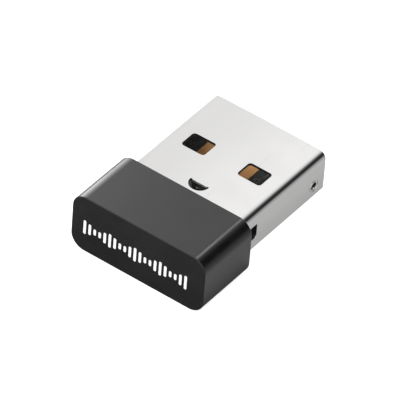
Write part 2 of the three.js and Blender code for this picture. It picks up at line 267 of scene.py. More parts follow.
def noise(tree, size, stretch=(1, 1, 1), detail=3.0):
    """Noise whose features have that size in millimetres, longer along the axes with stretch over 1."""
    where = add_node(tree, "ShaderNodeTexCoord").outputs["Object"]
    scaled = add_node(tree, "ShaderNodeMapping", {"Vector": where, "Scale": [1 / s for s in stretch]})
    made = add_node(tree, "ShaderNodeTexNoise",
                    {"Vector": scaled.outputs[0], "Scale": 1 / (size * MM), "Detail": detail})
    return made.outputs[0]


def ranged(tree, value, from_low, from_high, to_low, to_high):
    """A value mapped smoothly from one range to another."""
    limits = {"From Min": from_low, "From Max": from_high, "To Min": to_low, "To Max": to_high}
    made = add_node(tree, "ShaderNodeMapRange", {"Value": value, **limits}, interpolation_type="SMOOTHSTEP")
    return made.outputs[0]


def mixed(tree, factor, first, second):
    """One colour fading into another. Sockets 6 and 7 of a Mix node are its two colours, and 2 its result."""
    inputs = {0: factor, 6: first, 7: second}
    return add_node(tree, "ShaderNodeMix", inputs, data_type="RGBA").outputs[2]


def added(tree, first, second, operation="ADD"):
    """Two values added, or put through another operation of the Math node."""
    return add_node(tree, "ShaderNodeMath", {0: first, 1: second}, operation=operation).outputs[0]


def edge_mask(tree, radius):
    """1 along sharp edges, falling to 0 at about that distance in millimetres."""
    rounded = add_node(tree, "ShaderNodeBevel", {"Radius": radius * MM}, samples=6).outputs[0]
    flat = add_node(tree, "ShaderNodeNewGeometry").outputs["Normal"]
    dot = add_node(tree, "ShaderNodeVectorMath", {0: rounded, 1: flat}, operation="DOT_PRODUCT")
    return ranged(tree, dot.outputs["Value"], 0.995, 0.8, 0.0, 1.0)


def scratches(tree, size, stretch):
    """Thin lines, 1 where one runs, from the narrow crests of stretched noise."""
    return ranged(tree, noise(tree, size, stretch, detail=1.0), 0.66, 0.72, 0.0, 1.0)


def grey(value):
    """A neutral colour of that brightness."""
    return (value, value, value, 1.0)


def node_material(name):
    """A new material, and the tree of its nodes."""
    material = bpy.data.materials.new(name)
    material.use_nodes = True
    return material, material.node_tree


def finish(name, colour, patch_colour, roughness, grain, wear_and_highlight, patch_size=2.5, lines=None, **fixed):
    """A material with its own tone, patches, grain, fine lines and edges of another tone, which stand for
    wear, and on the black cap also for painted highlight.

    roughness is (least, most). grain is (size, depth, stretch), lines is (size, stretch, depth) and
    wear_and_highlight is (distance from the edge, colour, share), with sizes and depths in millimetres. The
    other values are the same all over, and are set on the shader itself.
    """
    material, tree = node_material(name)
    shader = tree.nodes["Principled BSDF"]
    for socket, value in fixed.items():
        shader.inputs[socket.replace("_", " ")].default_value = value
    patches = ranged(tree, noise(tree, patch_size), 0.35, 0.65, 0.0, 1.0)
    fine = noise(tree, grain[0], grain[2], detail=4.0)
    tone = mixed(tree, patches, colour, patch_colour)
    rough = ranged(tree, added(tree, patches, fine), 0.5, 1.5, *roughness)
    height = added(tree, fine, grain[1], "MULTIPLY")
    if lines:
        marks = scratches(tree, lines[0], lines[1])
        height = added(tree, height, added(tree, marks, -lines[2], "MULTIPLY"))
        rough = added(tree, rough, added(tree, marks, 0.08, "MULTIPLY"))
    if wear_and_highlight:
        # Edges take another tone: wear, and on the black cap also painted highlight.
        wear_and_highlight_mask = added(tree, edge_mask(tree, wear_and_highlight[0]), ranged(tree, fine, 0.3, 0.6, 0.3, 1.0), "MULTIPLY")
        tone = mixed(tree, added(tree, wear_and_highlight_mask, wear_and_highlight[2], "MULTIPLY"), tone, wear_and_highlight[1])
        rough = added(tree, rough, added(tree, wear_and_highlight_mask, 0.06, "MULTIPLY"))
    bump = add_node(tree, "ShaderNodeBump", {"Height": height, "Distance": MM, "Strength": 1.0})
    tree.links.new(tone, shader.inputs["Base Color"])
    tree.links.new(rough, shader.inputs["Roughness"])
    tree.links.new(bump.outputs[0], shader.inputs["Normal"])
    return material


# ---------------------------------------------------------------- materials

EVEN = (1, 1, 1)

# The cap's sharp edges are painted lighter: partly wear, partly painted highlight.
black_abs = finish(
    "black_abs", grey(0.0045), grey(0.0065), (0.19, 0.23), (0.08, 0.0004, EVEN),
    (0.2, grey(0.03), 0.3), patch_size=3.0, IOR=1.53,
)
nickel = finish(
    "nickel_steel", (0.66, 0.655, 0.65, 1), (0.645, 0.64, 0.635, 1), (0.10, 0.13), (0.06, 0.0001, (1, 20, 1)),
    (0.1, grey(0.72), 0.5), patch_size=4.0, lines=(0.3, (1, 16, 1), 0.0001), Metallic=1.0,
)
# Bare steel for the cut edges. Where it is laid on the tab's bend, its dark colour is painted shade.
cut_steel_and_shade = finish(
    "cut_steel_and_shade", grey(0.13), grey(0.09), (0.45, 0.6), (0.04, 0.002, (1, 1, 6)),
    (0.04, grey(0.45), 0.6), patch_size=0.5, Metallic=1.0,
)
worked_nickel = finish(
    "worked_nickel", grey(0.72), grey(0.66), (0.34, 0.44), (0.05, 0.0012, EVEN),
    (0.05, grey(0.6), 0.5), patch_size=1.0, lines=(0.1, (1, 6, 1), 0.0008), Metallic=1.0,
)
gold = finish(
    "gold_plate", (0.98, 0.53, 0.22, 1), (0.9, 0.48, 0.19, 1), (0.34, 0.42), (0.04, 0.00025, (1, 12, 1)),
    (0.05, (0.85, 0.6, 0.28, 1), 0.5), patch_size=0.8, lines=(0.12, (1, 30, 1), 0.0002), Metallic=1.0,
)
solder_mask = finish(
    "solder_mask", (0.024, 0.025, 0.025, 1), (0.03, 0.031, 0.031, 1), (0.24, 0.34), (0.35, 0.002, EVEN),
    (0.1, (0.05, 0.045, 0.03, 1), 0.6), patch_size=1.2,
)
mask_over_copper = finish(
    "mask_over_copper", (0.14, 0.14, 0.135, 1), (0.17, 0.168, 0.16, 1), (0.2, 0.3), (0.2, 0.001, EVEN),
    (0.05, (0.09, 0.08, 0.06, 1), 0.6), patch_size=0.8,
)
black_lcp = finish(
    "black_lcp", grey(0.010), grey(0.016), (0.42, 0.55), (0.06, 0.002, (1, 3, 1)),
    (0.12, grey(0.035), 0.5), patch_size=1.5,
)
mould_compound = finish(
    "mould_compound", grey(0.014), grey(0.020), (0.5, 0.62), (0.03, 0.002, EVEN),
    (0.06, grey(0.05), 0.5), patch_size=0.6,
)
ceramic = finish(
    "ceramic", (0.42, 0.31, 0.20, 1), (0.36, 0.26, 0.17, 1), (0.45, 0.6), (0.03, 0.0015, EVEN),
    (0.04, (0.5, 0.4, 0.3, 1), 0.5), patch_size=0.4,
)
resistor_glaze = finish(
    "resistor_glaze", grey(0.010), grey(0.014), (0.2, 0.32), (0.05, 0.001, EVEN),
    (0.04, grey(0.3), 0.4), patch_size=0.4,
)
ferrite = finish(
    "ferrite", (0.05, 0.05, 0.055, 1), (0.07, 0.068, 0.07, 1), (0.4, 0.55), (0.03, 0.002, EVEN),
    (0.05, grey(0.12), 0.6), patch_size=0.4, Metallic=0.2,
)
tin = finish(
    "tin_plate", (0.62, 0.61, 0.59, 1), (0.5, 0.49, 0.47, 1), (0.28, 0.45), (0.05, 0.003, EVEN),
    (0.04, grey(0.75), 0.5), patch_size=0.3, Metallic=1.0,
)
solder = finish(
    "solder", (0.6, 0.6, 0.6, 1), (0.5, 0.5, 0.51, 1), (0.2, 0.42), (0.12, 0.006, EVEN),
    (0.05, grey(0.72), 0.4), patch_size=0.5, Metallic=1.0,
)
can_steel = finish(
    "can_steel", (0.56, 0.56, 0.57, 1), (0.5, 0.5, 0.51, 1), (0.22, 0.32), (0.05, 0.0008, (8, 1, 1)),
    (0.06, grey(0.7), 0.5), patch_size=0.8, lines=(0.15, (15, 1, 1), 0.0004), Metallic=1.0,
)
white_ink = finish(
    "white_ink", grey(0.86), grey(0.82), (0.38, 0.5), (0.06, 0.0012, EVEN),
    (0.04, grey(0.7), 0.4), patch_size=1.0,
)

# ---------------------------------------------------------------- cap


def cap():
    """The moulded cap, open towards the plug, with its two ribs and two lugs inside."""
    outline = rounded_rectangle((CAP_LOW.x, CAP_LOW.z), (CAP_HIGH.x, CAP_HIGH.z), CAP_CORNER, steps=14)
    shape = add_prism(bmesh.new(), outline, CAP_LOW.y, CAP_HIGH.y, "y", (CAP_EDGE, CAP_EDGE), steps=5)
    half_width = PLUG_HIGH.x + CAP_GAP["side"]
    half_height = PLUG_HIGH.z + CAP_GAP["top"]
    hollow_outline = rounded_rectangle((-half_width, -half_height), (half_width, half_height),
                                       BEND_RADIUS + CAP_GAP["side"])
    back = CAP_LOW.y + CAP_BACK_WALL
    inner_corner = 0.15
    hollow = add_prism(bmesh.new(), hollow_outline, back, PAST, "y", (inner_corner, 0.0))
    shape = combined(shape, hollow, "DIFFERENCE")
    inside = bmesh.new()
    clear = CAP_LUG["clearance"]
    for side in (-1, 1):
        rib_x = sorted((CAP_RIB["near_x"] * side, CAP_RIB["far_x"] * side))
        lug_x = sorted(((PLUG_HIGH.x - CAP_LUG["into_notch"]) * side, (half_width + OVERLAP) * side))
        add_block(inside, (rib_x[0], back - OVERLAP, -half_height - OVERLAP),
                  (rib_x[1], PLUG_LOW.y - CAP_RIB["gap_to_plug"], BOARD_LOW.z), CAP_RIB["edge"])
        add_block(inside, (lug_x[0], NOTCH["from_y"] + clear, NOTCH["bottom"] + clear),
                  (lug_x[1], CAP_LUG["front_y"], NOTCH["top"] - clear), CAP_LUG["edge"])
    shape = combined(shape, inside, "UNION")
    return add_piece("cap", shape, [black_abs], "outer_cap")


def front_mark():
    """A row of upright bars printed across the cap's end face, low and high like a radio signal."""
    bars = 21
    bars_in_a_wave = 5
    pitch = 0.535
    width = 0.27
    half_of_shortest = 0.28
    half_added_to_longest = 0.47
    middle = Vector((-0.23, -0.27))
    ink = 0.012
    shape = bmesh.new()
    for k in range(bars):
        from_middle = k - (bars - 1) / 2
        x = middle.x + from_middle * pitch
        share = math.cos(math.pi * from_middle / bars_in_a_wave) ** 2
        half = half_of_shortest + half_added_to_longest * share
        outline = rounded_rectangle((x - width / 2, middle.y - half), (x + width / 2, middle.y + half),
                                    width * 0.48)
        add_prism(shape, outline, CAP_LOW.y - ink, CAP_LOW.y + ink, "y", (ink / 2, 0.0), steps=2)
    return add_piece("front_mark", shape, [white_ink])


# ---------------------------------------------------------------- plug shell

MID_RADIUS = BEND_RADIUS - WALL / 2
TOP_RUN = PLUG_HIGH.x - BEND_RADIUS
SIDE_RUN = 2 * (PLUG_HIGH.z - BEND_RADIUS)
BEND_RUN = MID_RADIUS * math.pi / 2
SIDE_START = TOP_RUN + BEND_RUN
LOWER_BEND = SIDE_START + SIDE_RUN
BOTTOM_START = LOWER_BEND + BEND_RUN
HALF_ROUND = BOTTOM_START + TOP_RUN

# The shell's finishes, as places in its list of materials: as plated, dulled by the press, and cut bare. The
# cut finish also lays painted shade on a stretch of the tab's bend.
PLATED, WORKED, CUT_AND_SHADE = 0, 1, 2


def folded_section(run):
    """Where a point lies across the folded plug, and which way its sheet faces there.

    run is the distance along the middle of the sheet from the top's centre line, positive to the right.
    """
    side = math.copysign(1, run)
    run = abs(run)
    corner = PLUG_HIGH.z - BEND_RADIUS
    if run < TOP_RUN:
        point = Vector((run, corner + MID_RADIUS + TOP_CROWN * (1 - (run / TOP_RUN) ** 2)))
        facing = Vector((2 * TOP_CROWN * run / TOP_RUN ** 2, 1)).normalized()
    elif run < SIDE_START:
        angle = (run - TOP_RUN) / MID_RADIUS
        facing = Vector((math.sin(angle), math.cos(angle)))
        point = Vector((TOP_RUN, corner)) + facing * MID_RADIUS
    elif run < LOWER_BEND:
        height = corner - (run - SIDE_START)
        point = Vector((TOP_RUN + MID_RADIUS + SIDE_CROWN * (1 - (height / corner) ** 2), height))
        facing = Vector((1, 2 * SIDE_CROWN * height / corner ** 2)).normalized()
    elif run < BOTTOM_START:
        angle = (run - LOWER_BEND) / MID_RADIUS
        facing = Vector((math.cos(angle), -math.sin(angle)))
        point = Vector((TOP_RUN, -corner)) + facing * MID_RADIUS
    else:
        facing = Vector((0, -1))
        point = Vector((TOP_RUN - (run - BOTTOM_START), -corner - MID_RADIUS))
    return Vector((side * point.x, point.y)), Vector((side * facing.x, facing.y))


def swell(share):
    """A smooth hump: 1 in the middle, where the share is 0, and 0 where it is 1 or more."""
    return math.cos(min(abs(share), 1.0) * math.pi / 2) ** 2


def groove_depth(distance):
    """How far the sheet is pushed in by the punch's ring, at a distance from the middle of the side hole."""
    return HOLE_GROOVE["depth"] * swell((distance - HOLE_GROOVE["radius"]) / (HOLE_GROOVE["width"] / 2))


def folded(run, y, height):
    """A point of the flat sheet, at a height off its middle surface, after all the folding."""
    across, facing = folded_section(run)
    if SIDE_START < abs(run) < LOWER_BEND:
        away = Vector((y - SIDE_HOLE["y"], across.y - SIDE_HOLE["z"]))
        if height > 0:
            across = across - facing * groove_depth(away.length)
        else:
            drawn_in = SIDE_HOLE["taper"] * swell((away.length - SIDE_HOLE["radius"]) / SIDE_HOLE["radius"])
            y -= away.normalized().x * drawn_in
            across = across - Vector((0, away.normalized().y * drawn_in))
    if on_tab(run, y):
        tab_y, tab_z = folded_tab(y, height)
        if height > 0:
            tab_y -= bead_height(run, tab_z)
        return Vector((run, tab_y, tab_z + across.y - (PLUG_HIGH.z - WALL / 2)))
    point = across + facing * height
    return Vector((point.x, y, point.y))


TAB_FOLD_START = TAB["face_y"] + WALL + TAB["inner_bend"]
TAB_BEND_START = TAB["face_y"] + TAB["outer_bend"]


def on_tab(run, y):
    """True if a point of the flat sheet is on the pushed-down part of the tab."""
    beside = min(0.0, y - TAB["fold_y"])
    return y < TAB_FOLD_START and math.hypot(run - TAB["middle_x"], beside) < TAB["radius"] - TAB["kerf"] / 2


def bead_height(x, z):
    """How far the small bead across the tab's face stands out."""
    off_middle = (x - TAB["middle_x"] - TAB_BEAD["off_middle"]) / TAB_BEAD["reach"]
    off_centre = (z - PLUG_HIGH.z + TAB_BEAD["drop"]) / (TAB_BEAD["width"] / 2)
    return TAB_BEAD["height"] * swell(off_middle) * swell(off_centre)


def folded_tab(y, height):
    """Where a point of the pushed-down tab ends up, along the plug and up.

    The punch draws the sheet tightly over its outer corner, so the outer face bends over a shorter
    stretch of the sheet than the inner face does.
    """
    outer = height > 0
    radius = TAB["outer_bend"] if outer else TAB["inner_bend"]
    face_y = TAB["face_y"] + (0.0 if outer else WALL)
    top = PLUG_HIGH.z + height - WALL / 2
    start = TAB_BEND_START if outer else TAB_FOLD_START
    below_bend = PLUG_HIGH.z - WALL - TAB["inner_bend"]
    arc_length = radius * math.pi / 2
    path = arc_length + (PLUG_HIGH.z - radius - below_bend if outer else 0.0)
    travelled = (start - y) / (start - TAB["face_y"]) * path
    lowered = abs(abs(height) - WALL / 2)
    if y >= start:
        return y, top
    if y < TAB["face_y"]:
        return face_y + (lowered if outer else -lowered), below_bend - (TAB["face_y"] - y)
    if travelled < arc_length:
        angle = travelled / radius
        reach = radius - (lowered if outer else -lowered)
        centre = PLUG_HIGH.z - radius if outer else PLUG_HIGH.z - WALL - radius
        return face_y + radius - reach * math.sin(angle), centre + reach * math.cos(angle)
    return face_y + lowered, below_bend + path - travelled


def window_outline(side):
    """The latch window on one side of the top."""
    x = side * WINDOW["off_centre"]
    half_width, half_length = WINDOW["width"] / 2, WINDOW["length"] / 2
    low = (x - half_width, WINDOW["middle_y"] - half_length)
    high = (x + half_width, WINDOW["middle_y"] + half_length)
    return rounded_rectangle(low, high, WINDOW["corner"])


def tab_kerf():
    """The C-shaped cut round the tab, with a short relief at each end of its fold."""
    outer, inner = TAB["radius"], TAB["radius"] - TAB["kerf"]
    middle_x, relief = TAB["middle_x"], TAB["relief_y"]
    centre = (middle_x, TAB["fold_y"])
    points = [Vector((middle_x - outer, relief))] + arc(centre, outer, 180, 360, 24)
    points += [Vector((middle_x + outer, relief)), Vector((middle_x + inner, relief))]
    points += arc(centre, inner, 360, 180, 24) + [Vector((middle_x - inner, relief))]
    return points


def notch_outline(side):
    """The opening in a side wall for the cap's lug. It runs from inside the cap to in front of it."""
    corner = PLUG_HIGH.z - BEND_RADIUS
    low, high = SIDE_START + corner - NOTCH["top"], SIDE_START + corner - NOTCH["bottom"]
    near, far = NOTCH["from_y"], NOTCH["to_y"]
    points = [Vector((low, near)), Vector((high, near))]
    points += arc((high - NOTCH["lower"], far - NOTCH["lower"]), NOTCH["lower"], 0, 90, 6)
    points += arc((low + NOTCH["upper"], far - NOTCH["upper"]), NOTCH["upper"], 90, 180, 4)
    if side < 0:
        points = [Vector((-point.x, point.y)) for point in reversed(points)]
    return points


def side_hole(side, radius):
    """A circle round the small hole in a side wall."""
    run = side * (SIDE_START + PLUG_HIGH.z - BEND_RADIUS - SIDE_HOLE["z"])
    return arc((run, SIDE_HOLE["y"]), radius, 0, 360, 28)[:-1]


def seam_edge(side):
    """One edge of the seam under the plug, from its hidden end to its tip, with the dovetail key."""
    gap = SEAM["kerf"] / 2
    key_y, neck, head, reach = SEAM["key_y"], SEAM["neck"] / 2, SEAM["head"] / 2, SEAM["reach"]
    path = [(0, PLUG_LOW.y), (0, key_y - neck), (reach, key_y - head), (reach, key_y + head),
            (0, key_y + neck), (0, PLUG_HIGH.y)]
    path = moved_sideways([Vector(point) for point in path], -side * gap, closed=False)
    return [Vector((side * HALF_ROUND - point.x, point.y)) for point in path]


def sheet_loops():
    """The outline of the flat sheet, then its holes, all anticlockwise."""
    outline = seam_edge(1) + seam_edge(-1)[::-1]
    holes = [tab_kerf()]
    for side in (-1, 1):
        holes += [window_outline(side), notch_outline(side), side_hole(side, SIDE_HOLE["radius"])]
    return outline, holes


def encloses(loop, point):
    """True if a point is inside a loop."""
    inside = False
    for a, b in zip(loop, loop[1:] + loop[:1]):
        if (a.y > point.y) != (b.y > point.y):
            if point.x < a.x + (b.x - a.x) * (point.y - a.y) / (b.y - a.y):
                inside = not inside
    return inside


def lengthwise(run):
    """A line along the whole flat sheet."""
    return [Vector((run, PLUG_LOW.y - 1)), Vector((run, PLUG_HIGH.y + 1))]


def sheet_lines():
    """Where the flat sheet needs rows of points: on its bends and curved walls, at the tab and its bead,
    and in rings round the side holes, on the groove and on either side of it."""
    bend_steps = 9
    lines = []
    for start in (TOP_RUN, LOWER_BEND):
        for k in range(bend_steps + 1):
            run = start + BEND_RUN * k / bend_steps
            for side in (-1, 1):
                lines.append(lengthwise(side * run))
    for k in range(-3, 4):
        lines.append(lengthwise(TOP_RUN * k / 4))
    for side in (-1, 1):
        for k in (1, 2, 3):
            lines.append(lengthwise(side * (SIDE_START + SIDE_RUN * k / 4)))
    half = TAB["radius"] - TAB["kerf"] - 0.001
    for y in [TAB_FOLD_START] + [TAB["face_y"] + TAB["outer_bend"] * k / 8 for k in range(9)]:
        lines.append([Vector((TAB["middle_x"] - half, y)), Vector((TAB["middle_x"] + half, y))])
    bead_y = TAB["face_y"] - (PLUG_HIGH.z - WALL - TAB["inner_bend"]) + PLUG_HIGH.z - TAB_BEAD["drop"]
    bead_x = TAB["middle_x"] + TAB_BEAD["off_middle"]
    for k in range(-2, 3):
        y = bead_y + TAB_BEAD["width"] * k / 4
        lines.append([Vector((bead_x + TAB_BEAD["reach"] * j / 4, y)) for j in range(-4, 5)])
    radii = [HOLE_GROOVE["radius"] + HOLE_GROOVE["width"] * k / 8 for k in range(-4, 5)]
    radii += [0.45, 0.72, 0.85]
    for side in (-1, 1):
        for radius in radii:
            circle = side_hole(side, radius)
            lines.append(circle + circle[:1])
    return lines


def flat_sheet():
    """The points and triangles of the flat sheet, and the loops that bound it."""
    outline, holes = sheet_loops()
    loops = [outline]
    for inset in (0.0, EDGE_ROUNDING * (1 - math.sqrt(0.5)), EDGE_ROUNDING):
        loops.append(moved_sideways(outline, inset))
        loops += [moved_sideways(hole, -inset) for hole in holes]
    points, edges = [], []
    for loop in loops[1:]:
        first = len(points)
        points += loop
        edges += [(first + i, first + (i + 1) % len(loop)) for i in range(len(loop))]
    for line in sheet_lines():
        first = len(points)
        points += line
        edges += [(first + i, first + i + 1) for i in range(len(line) - 1)]
    found, _, triangles, _, _, _ = delaunay_2d_cdt(points, edges, [], 0, 1e-5)
    kept = []
    for triangle in triangles:
        middle = sum((found[i] for i in triangle), Vector((0, 0))) / 3
        if encloses(outline, middle) and not any(encloses(hole, middle) for hole in holes):
            kept.append(triangle)
    return found, kept, [outline] + holes


def ways_to_edges(point, loops):
    """From a point of the flat sheet, the vector to each stretch of its edges, the stretch and its loop."""
    for loop in loops:
        for a, b in zip(loop, loop[1:] + loop[:1]):
            along = b - a
            share = max(0.0, min(1.0, (point - a).dot(along) / along.length_squared))
            yield a + along * share - point, along, loop


def way_to_edge(point, loops):
    """The vector from a point of the flat sheet to the nearest place on its edges."""
    return min((way for way, _, _ in ways_to_edges(point, loops)), key=lambda way: way.length_squared)


def surface_point(point, layer, loops):
    """Where a point of one face of the sheet ends up, and its normal, with punched edges rounded."""
    way = way_to_edge(point, loops)
    lean = max(0.0, 1 - way.length / EDGE_ROUNDING)
    height = layer * (WALL / 2 - EDGE_ROUNDING * (1 - math.sqrt(1 - lean ** 2)))
    place = folded(point.x, point.y, height)
    step = 0.002  # how far apart the two samples either side of the point are taken
    along_run = folded(point.x + step, point.y, height) - folded(point.x - step, point.y, height)
    along_y = folded(point.x, point.y + step, height) - folded(point.x, point.y - step, height)
    normal = along_run.cross(along_y).normalized() * layer
    if lean > 0:
        out = way if way.length > 1e-5 else outward(point, loops)
        sideways = (along_run * out.x + along_y * out.y).normalized()
        if at_hole_foot(point):
            sideways = (sideways + normal * layer * SIDE_HOLE["taper"] / WALL).normalized()
        normal = (normal * math.sqrt(1 - lean ** 2) + sideways * lean).normalized()
    return place, normal


def at_hole_foot(point):
    """Whether a point of the flat sheet is at the foot of a side hole, which the punch has burnished."""
    height = SIDE_START + PLUG_HIGH.z - BEND_RADIUS - abs(point.x)
    near_hole = abs(point.y - SIDE_HOLE["y"]) < 2 * SIDE_HOLE["radius"]
    drop_in_radii = (SIDE_HOLE["z"] - height) / SIDE_HOLE["radius"]
    return near_hole and 0.85 < drop_in_radii < 2


def outward(point, loops):
    """The way off the sheet at a point on its edge."""
    for way, along, loop in ways_to_edges(point, loops):
        if way.length < 1e-4:
            right = Vector((along.y, -along.x)).normalized()
            return right if loop is loops[0] else -right
    return Vector((0, 0))


def outer_finish(point):
    """The finish of the sheet's outer face. The tab is dulled, and a stretch of its bend takes the dark cut
    finish as painted shade.
    """
    if not on_tab(point.x, point.y) or point.y > TAB_BEND_START:
        return PLATED
    bent = (TAB_BEND_START - point.y) / TAB["outer_bend"]
    # Painted shade: this stretch of the tab's bend takes the dark cut finish.
    return CUT_AND_SHADE if PAINTED_SHADE_ON_BEND[0] < bent < PAINTED_SHADE_ON_BEND[1] else WORKED


def edge_finish(point):
    """The finish of the sheet's cut edges: bare, but for the burnished foot of each side hole."""
    return PLATED if at_hole_foot(point) else CUT_AND_SHADE


def plug_shell():
    """The plug's folded steel shell: a punched flat sheet, made thick and wrapped round."""
    found, triangles, loops = flat_sheet()
    used = sorted({i for triangle in triangles for i in triangle})
    points, normals, number = [], [], {}
    for layer in (1, -1):
        for i in used:
            place, normal = surface_point(found[i], layer, loops)
            number[layer, i] = len(points)
            points.append(place)
            normals.append(normal)
    faces, borders, finishes = [], {}, []
    for a, b, c in triangles:
        faces.append((number[1, a], number[1, b], number[1, c]))
        faces.append((number[-1, c], number[-1, b], number[-1, a]))
        finishes += [outer_finish((found[a] + found[b] + found[c]) / 3), WORKED]
        for start, end in ((a, b), (b, c), (c, a)):
            if borders.pop((end, start), None) is None:
                borders[start, end] = True
    for start, end in borders:
        faces.append((number[1, end], number[1, start], number[-1, start], number[-1, end]))
        finishes.append(edge_finish((found[start] + found[end]) / 2))
    mesh = bpy.data.meshes.new("plug_shell")
    mesh.from_pydata([SEAT + point * MM for point in points], [], faces)
    for material in (nickel, worked_nickel, cut_steel_and_shade):
        mesh.materials.append(material)
    mesh.polygons.foreach_set("material_index", finishes)
    mesh.shade_smooth()
    mesh.normals_split_custom_set_from_vertices(normals)
    return placed("plug_shell", mesh, "plug_shell")


cap_pieces = [cap(), front_mark()]
plug_shell()

# ---------------------------------------------------------------- board, carrier and contacts


def add_ring(body, middle, inner, outer, low, high, material=0, steps=28):
    """Adds a flat ring with a bevelled top, lying on the board."""
    edge = (high - low) * 0.5
    section = [(inner, low), (outer, low), (outer, high - edge), (outer - edge, high), (inner + edge, high),
               (inner, high - edge)]
    turns = []
    for k in range(steps):
        angle = 2 * math.pi * k / steps
        ahead = Vector((math.cos(angle), math.sin(angle), 0))
        turns.append([body.verts.new(Vector((*middle, z)) + ahead * radius) for radius, z in section])
    for k in range(steps):
        for i in range(len(section)):
            face = body.faces.new((turns[k - 1][i - 1], turns[k][i - 1], turns[k][i], turns[k - 1][i]))
            face.material_index = material
    return body


def circuit_board():
    """The wireless board, with its sawn edges softened."""
    half = 5.55
    shoulder = BOARD_HIGH.x
    shoulder_y = PLUG_LOW.y - 0.15
    corners = [(-shoulder, BOARD_LOW.y), (shoulder, BOARD_LOW.y), (shoulder, shoulder_y), (half, shoulder_y),
               (half, BOARD_HIGH.y), (-half, BOARD_HIGH.y), (-half, shoulder_y), (-shoulder, shoulder_y)]
    outline = [Vector(corner) for corner in corners]
    shape = add_prism(bmesh.new(), outline, BOARD_LOW.z, BOARD_HIGH.z, "z", (0.03, 0.03), steps=2)
    return add_piece("circuit_board", shape, [solder_mask], "circuit_board")


def board_tracks():
    """The copper tracks and via rings, which stand up a little under the black mask."""
    buried = BOARD_HIGH.z - 0.01
    raised = BOARD_HIGH.z + 0.014
    track_width = 0.16
    ring_hole, ring_radius, ring_middle = 0.18, 0.3, 0.24
    tracks = [
        [(-3.5, 3.8), (-3.5, 3.0), (-3.7, 2.2)],
        [(-1.0, 3.8), (-1.0, 2.6), (-1.1, 2.0)],
        [(1.0, 3.8), (1.0, 3.0), (-0.2, 2.5), (-0.2, 2.0)],
        [(3.5, 3.8), (3.5, 2.6), (2.2, 1.9), (1.9, 1.8)],
        [(-4.6, 1.0), (-4.9, 0.4), (-4.35, -1.6)],
        [(-1.1, -1.7), (-1.1, -2.4), (0.6, -2.4), (2.2, -2.2)],
        [(3.0, -2.2), (3.8, -2.2)],
        [(1.6, 0.4), (2.2, 0.4), (2.6, 0.6)],
        [(1.6, -0.6), (2.2, -0.6), (2.6, -0.8)],
        [(2.15, 7.42), (2.5, 8.2), (2.5, 10.2)],
        [(-2.2, 5.2), (-2.5, 6.0), (-2.5, 9.6)],
    ]
    rings = [(2.15, 7.42), (-2.2, 5.2), (2.5, 10.2), (-2.5, 9.6), (-0.2, 2.5), (0.6, -2.4), (4.9, 1.6)]
    shape = bmesh.new()
    for path in tracks:
        ends = [Vector(path[0]), Vector(path[-1])]
        inward = [(Vector(path[1]) - ends[0]).normalized(), (Vector(path[-2]) - ends[1]).normalized()]
        to_ring = [ring_middle if end in rings else 0.0 for end in (path[0], path[-1])]
        ends = [end + way * reach for end, way, reach in zip(ends, inward, to_ring)]
        outline = ribbon([ends[0], *path[1:-1], ends[1]], track_width)
        add_prism(shape, outline, buried, raised, "z", (0.0, 0.01), steps=2)
    for middle in rings:
        add_ring(shape, middle, ring_hole, ring_radius, buried, raised + 0.02)
    return add_piece("board_tracks", shape, [mask_over_copper])


def contacts():
    """The four gold contacts, flat pads with softly rounded edges."""
    corner = 0.12
    for name in ("contact_vbus", "contact_data_minus", "contact_data_plus", "contact_ground"):
        low, high = place_of(name)
        outline = rounded_rectangle(low[:2], high[:2], corner)
        shape = add_prism(bmesh.new(), outline, low.z, high.z, "z", (0.0, 0.02))
        add_piece(name, shape, [gold], name)


def printed_antenna():
    """The antenna: a copper strip that folds back and forth across the board behind the plug."""
    low, high = place_of("printed_antenna")
    strip = 0.4
    pitch = 1.2
    folds = 8
    front = -3.6
    start = pitch * folds / 2
    back = low.y + strip / 2
    path = [(start, high.y)]
    for k in range(folds + 1):
        turns = [front, back] if k % 2 == 0 else [back, front]
        path += [(start - k * pitch, y) for y in (turns if k < folds else turns[:1])]
    shape = add_prism(bmesh.new(), ribbon(path, strip), low.z, high.z, "z", (0.0, 0.02), steps=2)
    return add_piece("printed_antenna", shape, [gold], "printed_antenna")


def tongue_carrier():
    """The moulded block under the board, with the pocket for its parts and a sloping lip at the tip."""
    low, high = place_of("tongue_carrier")
    lip_y = 11.25
    lead_in = 0.35
    corner = BEND_RADIUS - WALL
    pocket_half, pocket_from, pocket_to, pocket_depth = 3.3, 2.6, 9.2, 0.9
    section = [Vector((high.x, high.z)), Vector((low.x, high.z))]
    section += arc((low.x + corner, low.z + corner), corner, 180, 270, 5)
    section += arc((high.x - corner, low.z + corner), corner, 270, 360, 5)
    shape = add_prism(bmesh.new(), section, low.y, high.y, "y", (0.05, 0.05), steps=2)
    bed = add_block(bmesh.new(), (low.x - PAST, low.y - PAST, BOARD_LOW.z),
                    (high.x + PAST, lip_y, high.z + PAST), 0.05)
    pocket = add_block(bmesh.new(), (-pocket_half, pocket_from, BOARD_LOW.z - pocket_depth),
                       (pocket_half, pocket_to, high.z + PAST / 2), 0.12)
    slope = [Vector((high.y - lead_in - PAST, high.z + PAST)),
             Vector((high.y + PAST, high.z - lead_in - PAST)), Vector((high.y + PAST, high.z + PAST))]
    lip = add_prism(bmesh.new(), slope, low.x - PAST, high.x + PAST, "x")
    for cut in (bed, pocket, lip):
        shape = combined(shape, cut, "DIFFERENCE")
    return add_piece("tongue_carrier", shape, [black_lcp], "tongue_carrier")


